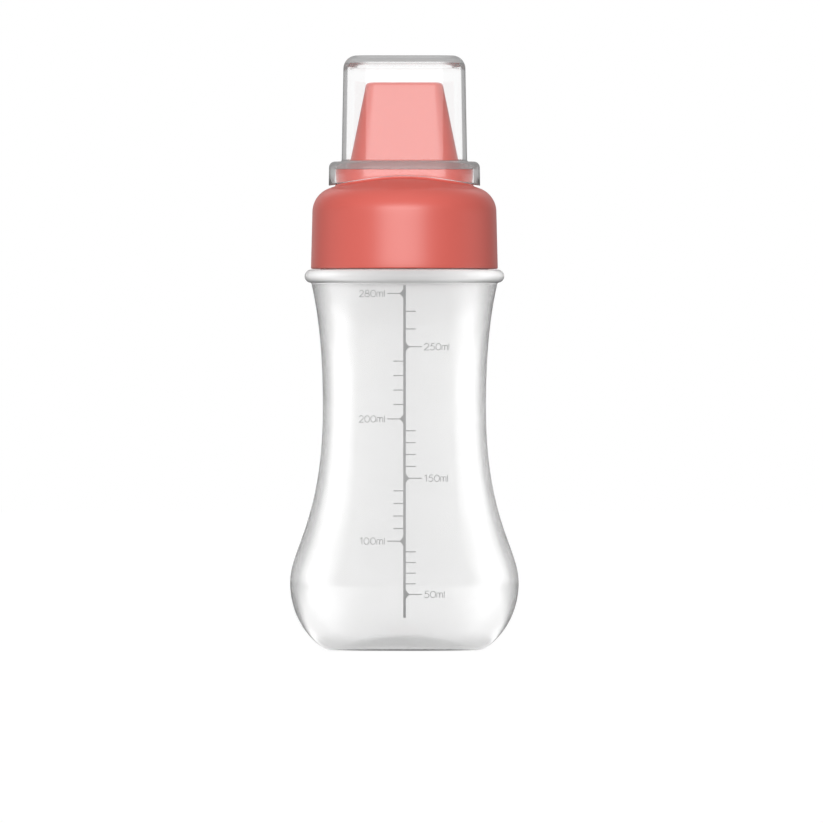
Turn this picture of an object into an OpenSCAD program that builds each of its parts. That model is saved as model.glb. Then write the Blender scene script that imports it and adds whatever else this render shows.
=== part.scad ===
// Squeeze sauce bottle: a blown bottle with a waist, a screw cap that carries a wide
// nozzle with five outlets, a sealing ring inside the cap and a clear lift-off cover.
// Millimetres, +Z up. The origin is the centre of the foot, on the surface that the
// bottle stands on. The wide face of the nozzle looks along -Y.

/* [Bottle outline] */
// Radius at which the flat of the foot ends
foot_r = 24.35; // [22:0.05:28]
// Rounding of the foot's outer corner
foot_round = 2; // [1.2:0.1:4]
// Slope of the outline just above the foot, in degrees
foot_slope = 31; // [20:1:45]
// Radius of the bulb, the widest place
bulb_r = 36.5; // [32:0.1:44]
// Height of the bulb's widest place
bulb_z = 21.7; // [16:0.1:28]
// Radius of the waist
waist_r = 26.05; // [22:0.05:31]
// Height of the waist
waist_z = 77.5; // [62:0.5:92]
// Height of the flat top of the shoulder, where the neck begins
shoulder_z = 121.6; // [105:0.1:145]
// Lean of the outline at the top of the shoulder, in degrees from upright
shoulder_lean = 12.7; // [5:0.1:20]
// Radius of the bead's section, round the shoulder
bead_r = 2.1; // [1.2:0.1:3]
// How far the bead stands out past the side of the cap
bead_proud = 2.05; // [1:0.05:3]
// Fillet between the shoulder and the bead
bead_fillet = 0.7; // [0.3:0.1:1.5]
// Turn of the bead where the fillet meets it, in degrees
bead_tuck = 10.8; // [5:0.1:20]

/* [Bottle wall, foot and neck] */
// Wall of the blown body
wall = 1; // [0.7:0.05:1.6]
// Wall of the shoulder under the cap
shoulder_wall = 1.4; // [1:0.1:2.2]
// Width of the flat ring that the bottle stands on
foot_ring_w = 3.35; // [2:0.05:6]
// Height of the push-up in the middle of the foot
pushup_h = 3.4; // [2:0.1:7]
// Outer radius of the neck
neck_r = 26.2; // [23:0.1:31]
// Wall of the neck
neck_wall = 1.6; // [1.2:0.1:2.2]
// Height of the neck above the shoulder
neck_h = 17.4; // [14:0.1:22]
// Fillet round the root of the neck
neck_fillet = 1; // [0.4:0.1:1.6]
// Rounding inside the shoulder, between the body's wall and the ceiling
shoulder_round = 2; // [1:0.1:2.4]
// Rounding where the shoulder turns up into the neck's bore
bore_round = 0.8; // [0.3:0.1:1.2]
// Rounding of the lip's outer edge
lip_round = 0.4; // [0.2:0.05:0.6]

/* [Cap] */
// Room between the neck and the cap, which the screw threads fill
thread_room = 1.7; // [1.2:0.1:2.4]
// Wall of the cap's side
cap_wall = 1.95; // [1.5:0.05:2.6]
// Draft of the cap's side, in degrees
cap_draft = 1.4; // [0.5:0.1:3]
// Height of the dome's crown above the sealing seat
crown_h = 10.7; // [9:0.1:14]
// Gap between the bottle's shoulder and the cap's rim
rim_gap = 0.2; // [0.1:0.05:0.5]
// Rounding of the rim's outer edge
rim_round = 0.5; // [0.2:0.1:0.8]
// Radius of the dome on top of the cap
dome_r = 72; // [58:1:90]
// Rounding between the cap's side and the dome
crown_round = 8; // [5:0.5:10]
// Wall of the dome
dome_wall = 1.8; // [1.4:0.1:2.4]
// Wall of the plug that fits inside the neck
plug_wall = 1.5; // [1.1:0.1:2]
// How far the plug reaches below the sealing seat
plug_h = 4.5; // [3.5:0.1:6]
// Gap between the plug and the neck's bore
plug_gap = 0.4; // [0.3:0.05:0.6]
// Lead-in chamfer on the rim and the plug
lead_in = 0.5; // [0.2:0.1:0.8]

/* [Sealing ring] */
// Thickness of the sealing ring
ring_t = 2; // [1.5:0.1:2.6]
// Gap between the sealing ring and the cap, inside and outside
ring_gap = 0.35; // [0.3:0.05:0.5]

/* [Collar and nozzle] */
// How far the collar's ends lie inside the cap's side
collar_inset = 7.85; // [6.5:0.05:9.5]
// Width of the collar across its flat faces
collar_w = 22.8; // [19:0.1:27]
// Height of the collar above the crown of the dome
collar_h = 1.9; // [1.4:0.1:4]
// Wall of the collar
collar_wall = 1.6; // [1.2:0.1:2]
// Rounding of the collar's top edge
collar_round = 0.3; // [0.1:0.1:0.8]
// Height of the nozzle above the collar
nozzle_h = 27.8; // [22:0.1:32]
// Wall of the nozzle
nozzle_wall = 1.5; // [1.1:0.1:1.8]
// Fillet round the root of the nozzle
nozzle_fillet = 0.6; // [0.3:0.1:0.7]
// Width of the nozzle's tip across its flat faces
tip_w = 6.2; // [5.2:0.1:8]
// Thickness of the tip, through which the outlets run
tip_t = 2; // [1.4:0.1:3]
// Rounding of the tip's edge along its flat faces
tip_round = 1; // [0.4:0.1:1.4]
// Rounding of the tip's two ends, seen from the front
tip_end_round = 1.7; // [1.4:0.1:2.2]
// Width of the tip beyond the last outlet
tip_land = 2.25; // [1.8:0.05:3]
// Number of outlets
outlets = 5; // [1:1:7]
// Diameter of an outlet
outlet_d = 2.2; // [1.4:0.1:2.8]
// Distance from one outlet to the next
outlet_pitch = 4.4; // [3.4:0.1:5]

/* [Dust cover] */
// Room between the tip of the nozzle and the top of the cover
headroom = 6.3; // [4:0.1:12]
// Wall of the cover
cover_wall = 1.2; // [0.9:0.05:1.6]
// Thickness of the cover's top
cover_top_t = 2.3; // [1.5:0.1:3]
// Draft of the cover's side, in degrees
cover_draft = 0.93; // [0.4:0.01:1.2]
// Rounding of the cover's top edge
cover_round = 4.2; // [3:0.1:5.5]
// How far the cover's side lies inside the collar's side
cover_inset = 1.95; // [1.5:0.05:2.3]
// Gap between the foot of the cover's side and the root of the nozzle
nozzle_gap = 1.05; // [0.9:0.05:1.6]
// Fillet between the cover's side and its flange
flange_fillet = 0.6; // [0.3:0.1:1]
// Thickness of the flange that rests on the collar
flange_t = 2.5; // [2:0.1:3.5]
// Rounding of the flange's outer edge
flange_round = 1.9; // [1:0.1:2]
// Wall of the skirt round the collar
skirt_wall = 1.5; // [1.1:0.1:2]
// Draft of the outside of the skirt, in degrees
skirt_draft = 2; // [0.5:0.1:3]
// Gap between the skirt and the collar
skirt_gap = 0.6; // [0.4:0.05:0.9]
// Gap between the skirt's edge and the dome
dome_gap = 0.8; // [0.5:0.1:1.2]

/* [Hidden] */
$fn = 160;

// Points on a quarter of a small rounding, on a wide arc and on a free curve
round_steps = 6;
arc_steps = 10;
curve_steps = 16;
// Points on each round end of the nozzle's outline
end_steps = 18;
// How far a cut runs past the face that it opens
overrun = 1;

// Lengths of the outline's handles as shares of the height that each stretch climbs
foot_handle_share = 0.093;
bulb_low_handle_share = 0.649;
bulb_high_handle_share = 0.196;
waist_low_handle_share = 0.645;
waist_high_handle_share = 0.386;
shoulder_handle_share = 0.30;

// Radii that follow the neck outwards
bore_r = neck_r - neck_wall;
cap_bore_r = neck_r + thread_room;
cap_r = cap_bore_r + cap_wall;
plug_r = bore_r - plug_gap;
ring_r0 = plug_r + ring_gap;
ring_r1 = cap_bore_r - ring_gap;

// Heights up the bottle and the cap
lip_z = shoulder_z + neck_h;
seat_z = lip_z + ring_t;
rim_z = shoulder_z + rim_gap;
crown_z = seat_z + crown_h;
dome_mid = [0, crown_z - dome_r];
collar_z = crown_z + collar_h;
tip_z = collar_z + nozzle_h;
flange_z = collar_z + flange_t;
cover_top_z = tip_z + headroom + cover_top_t;

// The push-up is a shallow part of a sphere
pushup_r = foot_r - foot_ring_w;
pushup_sphere_r = (pushup_r * pushup_r + pushup_h * pushup_h) / (2 * pushup_h);
pushup_mid = [0, pushup_h - pushup_sphere_r];
pushup_turn = asin(pushup_r / pushup_sphere_r);

// The bead, and the shoulder's last point below its fillet
bead_mid = [cap_r + bead_proud - bead_r, shoulder_z - bead_r];
bead_fillet_mid = bead_mid + (bead_r + bead_fillet) * [sin(bead_tuck), -cos(bead_tuck)];
shoulder_out = [cos(shoulder_lean), -sin(shoulder_lean)];
shoulder_up = [sin(shoulder_lean), cos(shoulder_lean)];
shoulder_end = bead_fillet_mid - bead_fillet * shoulder_out;

// Round-ended outlines: half the length of their straight side, and their end radii
collar_r = collar_w / 2;
seat_half = cap_r - collar_inset - collar_r;
cover_r = collar_r - cover_inset;
nozzle_r = cover_r - cover_wall - nozzle_gap;
tip_r = tip_w / 2;
outlet_reach = outlet_pitch * (outlets - 1) / 2;
tip_half = outlet_reach + outlet_d / 2 + tip_land - tip_r;
// How much further the tip's ends draw in than its flat faces do
tip_end_cut = min(tip_end_round - tip_round, tip_half);

// Points on an arc, from one angle to another
function arc(mid, r, from, to, steps) =
    [for (i = [0:steps]) let (a = from + (to - from) * i / steps) mid + r * [cos(a), sin(a)]];

// A free curve from one point to another that leaves and arrives along given directions.
// Its first point is left out, because the stretch before it ends there.
function curve(p, p_dir, p_handle, q, q_dir, q_handle) =
    let (a = p + p_handle * p_dir, b = q - q_handle * q_dir)
    [for (i = [1:curve_steps]) let (t = i / curve_steps, s = 1 - t)
        s * s * s * p + 3 * s * s * t * a + 3 * s * t * t * b + t * t * t * q];

// The same path, moved to its left by a distance
function moved_left(path, distance) =
    [for (i = [0:len(path) - 1])
        let (step = path[min(i + 1, len(path) - 1)] - path[max(i - 1, 0)],
             dir = step / norm(step))
        path[i] + distance * [-dir[1], dir[0]]];

function reversed(path) = [for (i = [len(path) - 1:-1:0]) path[i]];

function mirrored(path) = [for (p = reversed(path)) [-p[0], p[1]]];

// Outside of the body, from the flat of the foot up to the fillet under the bead
function body_path() =
    let (foot = arc([foot_r, foot_round], foot_round, -90, foot_slope - 90, round_steps),
         start = foot[round_steps],
         low = bulb_z - start[1],
         middle = waist_z - bulb_z,
         high = shoulder_end[1] - waist_z,
         bulb = [bulb_r, bulb_z],
         waist = [waist_r, waist_z],
         up = [0, 1])
    concat(
        foot,
        curve(start, [cos(foot_slope), sin(foot_slope)], low * foot_handle_share,
              bulb, up, low * bulb_low_handle_share),
        curve(bulb, up, middle * bulb_high_handle_share,
              waist, up, middle * waist_low_handle_share),
        curve(waist, up, high * waist_high_handle_share,
              shoulder_end, shoulder_up,
              high * shoulder_handle_share));

// Outside of the bead, the shoulder and the neck
function neck_path() =
    concat(
        arc(bead_fillet_mid, bead_fillet, 180 - shoulder_lean, 90 + bead_tuck, round_steps),
        arc(bead_mid, bead_r, bead_tuck - 90, 90, 2 * arc_steps),
        arc([neck_r + neck_fillet, shoulder_z + neck_fillet], neck_fillet, 270, 180, round_steps),
        arc([neck_r - lip_round, lip_z - lip_round], lip_round, 0, 90, round_steps));

// Inside of the bottle, from the lip down to the middle of the floor
function bottle_inside() =
    let (body = moved_left(body_path(), wall),
         top = body[len(body) - 1],
         ceiling_z = shoulder_z - shoulder_wall,
         room = ceiling_z - top[1],
         turn_r = min(shoulder_round, room / (1 + sin(shoulder_lean))),
         rise = (room - turn_r * (1 + sin(shoulder_lean))) / cos(shoulder_lean),
         turn_mid = top + rise * shoulder_up - turn_r * shoulder_out)
    concat(
        [[bore_r, lip_z]],
        arc([bore_r + bore_round, ceiling_z + bore_round], bore_round, 180, 270, round_steps),
        arc(turn_mid, turn_r, 90, -shoulder_lean, arc_steps),
        reversed(body),
        arc(pushup_mid, pushup_sphere_r + wall, 90 - pushup_turn, 90, arc_steps));

// Underside of the bottle, from the middle of the push-up to the foot ring
function pushup_path() = arc(pushup_mid, pushup_sphere_r, 90, 90 - pushup_turn, arc_steps);

// Outside of the cap, from its rim to the crown of the dome
function cap_outside() =
    let (up = [-sin(cap_draft), cos(cap_draft)],
         out = [cos(cap_draft), sin(cap_draft)],
         // The rounding's middle lies beside the wall and is tangent to the dome
         start = [cap_r, rim_z] - crown_round * out - dome_mid,
         along = start * up,
         reach = dome_r - crown_round,
         climb = sqrt(along * along - start * start + reach * reach) - along,
         round_mid = dome_mid + start + climb * up,
         turn = atan2(round_mid[1] - dome_mid[1], round_mid[0]))
    concat(
        arc([cap_r - rim_round, rim_z + rim_round], rim_round, -90, cap_draft, round_steps),
        arc(round_mid, crown_round, cap_draft, turn, arc_steps),
        arc(dome_mid, dome_r, turn, 90, arc_steps));

// Inside of the cap, from the crown of the dome out to the plug, the seat and the rim
function cap_inside() =
    let (plug_in = plug_r - plug_wall,
         dome_in = dome_r - dome_wall,
         plug_z = seat_z - plug_h)
    concat(
        arc(dome_mid, dome_in, 90, acos(plug_in / dome_in), arc_steps),
        [[plug_in, plug_z], [plug_r - lead_in, plug_z], [plug_r, plug_z + lead_in],
         [plug_r, seat_z], [cap_bore_r, seat_z],
         [cap_bore_r, rim_z + lead_in], [cap_bore_r + lead_in, rim_z]]);

// A solid whose half section is an outline, with a straight side along X and round ends
module round_ended(outline, half) {
    for (side = [-1, 1])
        translate([side * half, 0, 0])
            rotate_extrude()
                polygon(outline);
    translate([-half, 0, 0])
        rotate([90, 0, 90])
            linear_extrude(2 * half)
                polygon(concat(outline, mirrored(outline)));
}

// One ring of points round a round-ended outline, at a height
function end_ring(half, r, z) =
    [for (side = [1, -1], i = [0:end_steps])
        let (a = 90 * (1 - side) - 90 + 180 * i / end_steps)
        [side * half + r * cos(a), r * sin(a), z]];

// Half length and end radius of the nozzle at a height above the collar
function nozzle_half_at(h) = seat_half + (tip_half - seat_half) * h / nozzle_h;
function nozzle_r_at(h) = nozzle_r + (tip_r - nozzle_r) * h / nozzle_h;

// One ring of the nozzle at a height above the collar, grown outwards and drawn in at its ends
function nozzle_ring(h, grow, draw_in = 0) =
    end_ring(nozzle_half_at(h) - draw_in, nozzle_r_at(h) + grow, collar_z + h);

// Joins rings that all have the same number of points into one solid
module loft(rings) {
    n = len(rings[0]);
    last = (len(rings) - 1) * n;
    sides = [for (k = [0:len(rings) - 2], i = [0:n - 1])
        [k * n + i, (k + 1) * n + i, (k + 1) * n + (i + 1) % n, k * n + (i + 1) % n]];
    polyhedron([for (ring = rings, p = ring) p],
        concat(sides, [[for (i = [0:n - 1]) i]], [[for (i = [n - 1:-1:0]) last + i]]));
}

// Outside of the nozzle: a flared root, tapered sides and a rounded tip
module nozzle_outside() {
    quarter = [for (i = [0:round_steps]) 90 * i / round_steps];
    loft(concat(
        [nozzle_ring(-collar_wall / 2, nozzle_fillet)],
        [for (a = quarter) nozzle_ring(nozzle_fillet * (1 - cos(a)), nozzle_fillet * (1 - sin(a)))],
        [for (a = quarter)
            nozzle_ring(nozzle_h - tip_round * (1 - sin(a)), -tip_round * (1 - cos(a)),
                        tip_end_cut * (1 - cos(a)))]));
}

// Passage through the nozzle, from inside the collar up to the tip
module nozzle_passage() {
    loft([nozzle_ring(-collar_wall - overrun, -nozzle_wall),
          nozzle_ring(nozzle_h - tip_t, -nozzle_wall)]);
}

module outlet_holes() {
    for (i = [0:outlets - 1])
        translate([i * outlet_pitch - outlet_reach, 0, tip_z - tip_t - overrun])
            cylinder(d = outlet_d, h = tip_t + 2 * overrun);
}

// A straight round-ended block between two heights
module slot_block(r, z0, z1) {
    round_ended([[0, z0], [r, z0], [r, z1], [0, z1]], seat_half);
}

// The collar that the nozzle and the cover stand on, with its top edge rounded
module collar_block() {
    edge_mid = [collar_r - collar_round, collar_z - collar_round];
    round_ended(
        concat([[0, seat_z], [collar_r, seat_z]],
               arc(edge_mid, collar_round, 0, 90, round_steps),
               [[0, collar_z]]),
        seat_half);
}

module bottle() {
    color([0.94, 0.95, 0.96, 0.6])
        rotate_extrude()
            polygon(concat(pushup_path(), body_path(), neck_path(), bottle_inside()));
}

module nozzle_cap() {
    color([0.93, 0.5, 0.46])
        difference() {
            union() {
                rotate_extrude()
                    polygon(concat(cap_outside(), cap_inside()));
                difference() {
                    collar_block();
                    translate([0, 0, dome_mid[1]])
                        sphere(dome_r - dome_wall / 2);
                }
                nozzle_outside();
            }
            slot_block(collar_r - collar_wall, seat_z, collar_z - collar_wall);
            nozzle_passage();
            outlet_holes();
        }
}

module sealing_ring() {
    color([0.95, 0.95, 0.93, 0.8])
        rotate_extrude()
            translate([ring_r0, lip_z])
                square([ring_r1 - ring_r0, ring_t]);
}

// How much the cover's side draws in between the flange and the top
cover_taper = (cover_top_z - flange_z) * tan(cover_draft);

// Outside of the cover: rounded top, drafted side, flange and skirt
function cover_outside() =
    let (top_r = cover_r - cover_taper,
         skirt_r = collar_r + skirt_gap + skirt_wall,
         skirt_h = flange_z - seat_z)
    concat(
        [[0, seat_z], [skirt_r + skirt_h * tan(skirt_draft), seat_z]],
        arc([skirt_r - flange_round, flange_z - flange_round], flange_round, 0, 90, round_steps),
        arc([cover_r + flange_fillet, flange_z + flange_fillet], flange_fillet, 270, 180, round_steps),
        arc([top_r - cover_round, cover_top_z - cover_round], cover_round, 0, 90, arc_steps),
        [[0, cover_top_z]]);

// Inside of the cover, above the collar
function cover_hollow() =
    let (hollow_r = cover_r - cover_wall,
         ceiling_z = tip_z + headroom,
         turn_r = cover_round - cover_wall)
    concat(
        [[0, collar_z - overrun], [hollow_r, collar_z - overrun]],
        arc([hollow_r - cover_taper - turn_r, ceiling_z - turn_r], turn_r, 0, 90, arc_steps),
        [[0, ceiling_z]]);

module dust_cover() {
    color([0.85, 0.9, 0.93, 0.35])
        difference() {
            round_ended(cover_outside(), seat_half);
            round_ended(cover_hollow(), seat_half);
            slot_block(collar_r + skirt_gap, seat_z - overrun, collar_z);
            translate([0, 0, dome_mid[1]])
                sphere(dome_r + dome_gap);
        }
}

bottle();
nozzle_cap();
sealing_ring();
dust_cover();
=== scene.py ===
"""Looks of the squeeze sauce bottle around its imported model.

The object's sizes are in millimetres, and Skin.piece turns them into metres. The studio's
places and sizes are in metres. The nozzle's wide face and the printed scale look along -Y.
"""

import math
from collections import namedtuple
from types import SimpleNamespace

import bmesh
import bpy
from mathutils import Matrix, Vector
from mathutils.geometry import delaunay_2d_cdt


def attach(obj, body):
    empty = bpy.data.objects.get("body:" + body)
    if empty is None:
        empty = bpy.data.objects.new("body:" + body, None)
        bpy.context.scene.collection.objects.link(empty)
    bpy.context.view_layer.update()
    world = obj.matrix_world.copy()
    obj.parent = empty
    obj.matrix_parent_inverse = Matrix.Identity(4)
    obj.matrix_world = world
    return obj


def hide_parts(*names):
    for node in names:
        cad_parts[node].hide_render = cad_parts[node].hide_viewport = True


MM = 0.001
TINY = 1e-6
SHARP_ANGLE = math.radians(38)

# The photograph's frame in its own pixels, and a lens so long that perspective hardly shows
PHOTO = SimpleNamespace(side_px=823, px_per_mm=3.13, axis_px=404.4, base_px=650.2)
CAMERA = SimpleNamespace(lens=1200, sensor=36, sees_to=50)

# Bottle: its outline, wall, foot and neck. foot_slope, shoulder_lean and bead_tuck are in degrees.
BOTTLE = SimpleNamespace(
    foot_r=24.35, foot_round=2.0, foot_slope=31,
    bulb_r=36.5, bulb_z=21.7, waist_r=26.05, waist_z=77.5,
    shoulder_z=121.6, shoulder_lean=12.7,
    bead_r=2.1, bead_proud=2.05, bead_fillet=0.7, bead_tuck=10.8,
    wall=1.0, shoulder_wall=1.4, foot_ring_w=3.35, pushup_h=3.4,
    neck_r=26.2, neck_wall=1.6, neck_h=17.4, neck_fillet=1.0,
    shoulder_round=2.0, bore_round=0.8, lip_round=0.4,
)
# How far the handles of the outline's free curves reach, as shares of each curve's height
HANDLE_SHARES = SimpleNamespace(
    foot=0.093, bulb_low=0.649, bulb_high=0.196,
    waist_low=0.645, waist_high=0.386, shoulder=0.30,
)
# Cap, with its draft in degrees, and the sealing ring inside it
CAP = SimpleNamespace(
    thread_room=1.7, wall=1.95, draft=1.4, crown_h=10.7, rim_gap=0.2, rim_round=0.5,
    dome_r=72.0, crown_round=8.0, dome_wall=1.8,
    plug_wall=1.5, plug_h=4.5, plug_gap=0.4, lead_in=0.5,
)
RING = SimpleNamespace(t=2.0, gap=0.35, round=0.5, film=0.02)
# Collar on the dome, and the nozzle on the collar
NOZZLE = SimpleNamespace(
    collar_inset=7.85, collar_w=22.8, collar_h=1.9, collar_wall=1.6, collar_round=0.3,
    collar_fillet=0.5, h=27.8, wall=1.5, fillet=0.6,
    tip_w=6.2, tip_t=2.0, tip_round=1.0, tip_end_round=1.7, tip_land=2.25,
    outlets=5, outlet_d=2.2, outlet_pitch=4.4, outlet_round=0.2, outlet_points=32,
)
# Clear cover, with its two drafts in degrees
COVER = SimpleNamespace(
    headroom=6.3, wall=1.2, top_t=2.3, draft=0.93, round=4.2, inset=1.95,
    nozzle_gap=1.05, flange_fillet=0.6, flange_t=2.5, flange_round=1.9,
    skirt_wall=1.5, skirt_draft=2.0, skirt_gap=0.6, dome_gap=0.8,
    edge_round=0.25, film=0.03,
)

# Screw thread: one ridge on the neck and one in the cap, half a lead below it
THREAD = SimpleNamespace(
    lead=6.0, turns=1.5, run_out=0.09, neck_start=11.2, half_w=1.1, flank=0.65,
    neck_h=1.1, cap_h=1.2, row=0.2,
)

# Printed scale: each numbered mark's value, height and side, 1 on the right and -1 on the left
MARKS = [
    (50, 18.05, 1), (100, 35.0, -1), (150, 55.0, 1),
    (200, 73.9, -1), (250, 96.9, 1), (280, 113.85, -1),
]
# Ink bends round the bottle at every line_step, tick_step or text_step.
SCALE = SimpleNamespace(
    x=0.05, low=10.65, high=116.5, line_w=0.8, tick_w=0.3, long=5.5, short=3.55,
    step_ml=10, flare_w=1.15, flare_h=1.3, flare_power=1.4, text_gap=0.8, text_h=2.1,
    text_wide=1.22, text_w=0.2, letter_gap=0.34, sunk=0.02, proud=0.03,
    line_step=1.0, tick_step=0.8, text_step=0.5, least_mitre=0.4,
)

# Steps on the arcs, curves and sides of the outlines
STEPS = SimpleNamespace(
    arc=8, edge=4, collar_edge=5, curve=36, pushup=24, bead=24, crown=16, cap_side=8, dome=12,
    nozzle_side=14, passage=6, cover_turn=14, cover_side=10, flange=12, letter=20, arch=10, flare=10,
)
# Points round every ring: the two round ends and the two straight sides
END_POINTS = 61
SIDE_POINTS = 35
RING_POINTS = 2 * (END_POINTS + SIDE_POINTS)

# The scale's characters in a box of height 1: the width, whether the strokes are closed, and the
# strokes themselves. A stroke goes through points and along bows, which are upright ellipses or
# parts of them: the middle, the two radii, and the angles in degrees.
Bow = namedtuple("Bow", "x y rx ry start end steps", defaults=(0, 360, STEPS.letter))
CHARACTERS = {
    "0": (0.72, True, [[Bow(0.36, 0.5, 0.34, 0.5)]]),
    "8": (0.64, True, [[Bow(0.32, 0.76, 0.24, 0.24)], [Bow(0.32, 0.27, 0.31, 0.27)]]),
    "1": (0.42, False, [[(0.06, 0.8), (0.3, 1), (0.3, 0)]]),
    "2": (0.64, False, [[Bow(0.31, 0.7, 0.28, 0.3, 170, -30), (0.02, 0), (0.62, 0)]]),
    "5": (0.62, False, [[(0.56, 1), (0.2, 1), Bow(0.29, 0.33, 0.31, 0.33, 125, -150)]]),
    "m": (0.8, False, [
        [(0, 0), Bow(0.19, 0.54, 0.19, 0.2, 180, 0, STEPS.arch), (0.38, 0)],
        [(0.38, 0), Bow(0.57, 0.54, 0.19, 0.2, 180, 0, STEPS.arch), (0.76, 0)],
    ]),
    "l": (0.1, False, [[(0.04, 0), (0.04, 1)]]),
}


def grey(level):
    return (level, level, level)


# A finish: the scale of its faint clouds in features per metre, the colours and the roughnesses
# that they go between, the share of light that passes through it, and the grey through which
# what is behind it is lit. Thin walls turn to a painted grey shade over edge_span, on the way from
# seen straight on, 0, to seen edge on, 1. bump is the clouds' depth in metres and its strength.
Finish = namedtuple("Finish", "cloud shades rough passing tint edge_span bump ior",
                    defaults=(0, None, None, None, 1.5))
# Painted shade: the grey painted where a milky wall is seen edge on, for its dark outline
PAINTED_EDGE_GREY = 0.5
# Soft, slightly milky polyethylene
MILKY = Finish(90, (grey(0.955), grey(0.98)), (0.12, 0.15), 0.9, 0.9, (0.4, 1), (0.0002, 0.1))
# The same where it is thick: milkier, so that less shows through it
THICK = Finish(90, (grey(0.95), grey(0.98)), (0.2, 0.26), 0.33, 0.7, (0.7, 1))
# The cover's unpolished seat, beside the root of the nozzle and over the collar
SATIN = Finish(400, (grey(0.86), grey(0.94)), (0.3, 0.4), 0.35, 0.6)
# Milky silicone rubber
SILICONE = Finish(200, ((0.83, 0.83, 0.8), (0.9, 0.9, 0.88)), (0.42, 0.5), 0.4, 0.5, ior=1.41)
# Grey screen-printed ink
INK = Finish(900, (grey(0.34), grey(0.4)), (0.5, 0.6))
# Satin moulded polypropylene in coral, with a fine grain
CORAL = SimpleNamespace(
    cloud=60, shades=((0.76, 0.125, 0.096), (0.80, 0.137, 0.107)), rough=(0.36, 0.42), ior=1.49,
    shine=0.9, grain=2600, grain_detail=1.0, grain_bump=(0.00002, 0.25),
)

# Clear, glossy polystyrene. On walls, the painted grey shade of an edge comes up later the less the
# surface looks sideways: by lag on the flat faces, and by nothing where it looks sideways by
# lag_from or more. The outline turns to a painted dark grey line over line_span.
CLEAR = SimpleNamespace(
    cloud=120, rough=(0.0, 0.03), ior=1.5, tint=0.95,
    lag=0.37, lag_from=0.82, line=0.4, line_span=(0.68, 0.8),
)
# How a part of the cover looks seen edge on: its painted grey shade, the span in which that comes
# up, the share of light that still passes, and whether it is a wall
Clear = namedtuple("Clear", "edge span passing is_wall", defaults=(False,))
RIM_LOOK = Clear(0.75, (0.43, 0.5), 0.3)
WALL_LOOK = Clear(0.75, (0.43, 0.5), 0.3, True)
TOP_LOOK = Clear(0.98, (0.08, 0.2), 0.1)
INSIDE_LOOK = Clear(1.0, (0, 1), 1)

# The studio. world_gloss is the share of its white that the world shows in gloss, and world_light
# is how strongly it lights. floor_glow is the floor's white, floor_shade the grey of the layer
# that keeps its shadow, floor_light the grey that light bounces off, and floor_drop keeps it
# just below the foot.
STUDIO = SimpleNamespace(
    world_gloss=0.1, world_light=0.27,
    floor_glow=0.965, floor_shade=0.16, floor_light=0.8, floor_rough=0.9,
    floor_r=12, floor_points=96, floor_drop=0.00005,
)
# How bright the floor glows in gloss, a painted reflection for the bottle: in front of it, beside
# it, behind it and at its foot.
# front and beside go to their far values over the distances near and side, and foot_shadow_in_gloss ends over
# foot. The way round goes from -1 in front to 1 behind: beside takes over from front along rise,
# later by far_lag where it is far off, and behind takes over along fall.
# Painted light: beside the bottle the floor glows brighter than white to put painted highlights in
# its gloss, far in front and behind it is darker, and at its foot it is darker as a painted shadow.
FLOOR_GLOSS = SimpleNamespace(
    front=1.0, front_far=0.2, beside=2.7, beside_far=1.3, behind=0.15, foot_shadow_in_gloss=0.5,
    near=(0.12, 0.5), side=(0.35, 0.9), foot=(0.028, 0.035),
    rise=(-0.65, -0.35), fall=(0.1, 0.5), far_lag=0.3,
)

# Area lamps, which look at the bottle's axis at the height aim. spread is in degrees, lights names
# the pieces that a lamp lights, and shows is whether it shows in gloss and through clear plastic.
Lamp = namedtuple("Lamp", "name place aim size watts spread lights shows")
LAMPS = [
    Lamp("key", (-0.08, -1.2, 0.41), 0.15, (1.25, 0.6), 11.7, 180, ("cap", "ring", "scale"), True),
    Lamp("front", (0, -1.2, 0.2), 0.15, (1.0, 0.6), 2.6, 180, ("cover",), True),
    Lamp("left_fill", (-1.2, -0.7, 0.3), 0.12, (0.5, 0.8), 1.2, 180, ("cap", "cover"), False),
    Lamp("left_side", (-0.98, 0.22, 0.3), 0.08, (1.1, 1.4), 1.8, 66, ("bottle", "scale"), True),
    Lamp("right_side", (0.97, 0.24, 0.3), 0.08, (1.1, 1.4), 2.0, 70, ("bottle", "scale"), True),
    Lamp("crown", (0, 1.1, 0.95), 0.14, (1.6, 0.5), 2.0, 180, ("cap",), True),
    Lamp("top", (0, -0.3, 1.2), 0.15, (0.8, 0.8), 1.7, 180, ("cap", "cover"), False),
    Lamp("left_rim", (-0.55, 1.05, 0.3), 0.13, (0.5, 0.8), 0.5, 180, ("cap",), True),
    Lamp("right_rim", (0.55, 1.05, 0.3), 0.13, (0.5, 0.8), 0.3, 180, ("cap",), True),
    Lamp("front_wash", (0, -1.2, 0.15), 0.08, (1.2, 0.8), 13, 180, ("bottle",), False),
    Lamp("left_wash", (-1.0, 0.15, 0.15), 0.08, (0.9, 1.4), 11, 180, ("bottle",), False),
    Lamp("right_wash", (1.0, 0.15, 0.15), 0.08, (0.9, 1.4), 11, 180, ("bottle",), False),
]

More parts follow.
